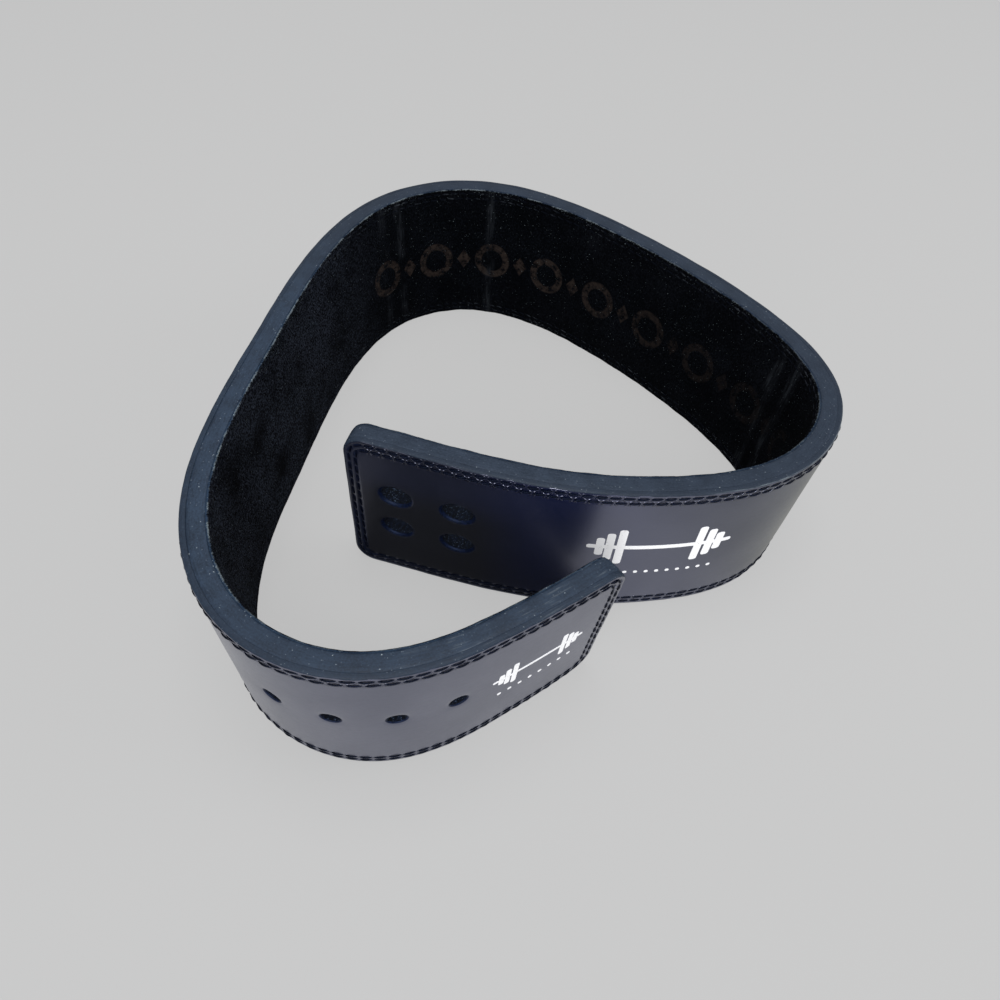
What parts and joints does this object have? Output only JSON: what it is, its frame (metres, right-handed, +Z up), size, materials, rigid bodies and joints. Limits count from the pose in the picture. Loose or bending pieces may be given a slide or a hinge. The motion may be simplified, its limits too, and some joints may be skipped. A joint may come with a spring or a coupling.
{
  "type": "weightlifting belt",
  "caption": "Wide layered leather lifting belt standing on its edge as an open loop, with a row of prong holes in the tongue and oval screw holes at the other end.",
  "frame": {"origin": "on the floor, under the middle of the loop's box", "axes": "+Z up along the belt's width; +Y away from the tongue towards the far bend, along the loop's longest extent; +X to the right as the picture shows it"},
  "size_m": [0.3292, 0.3866, 0.1],
  "materials": {
    "navy_leather": "glossy finished leather, dark navy",
    "painted_edge": "trimmed leather edge under satin slate blue edge paint",
    "black_suede": "matt black suede with a fine nap",
    "stitch_thread": "waxed dark navy thread",
    "white_print": "flat white transfer print",
    "brown_stamp": "shallow stamped marks in the suede, worn brown"
  },
  "bodies": {
    "root": {"outer_facing": "navy_leather", "core_leather": "painted_edge", "suede_lining": "black_suede"}
  },
  "joints": []
}
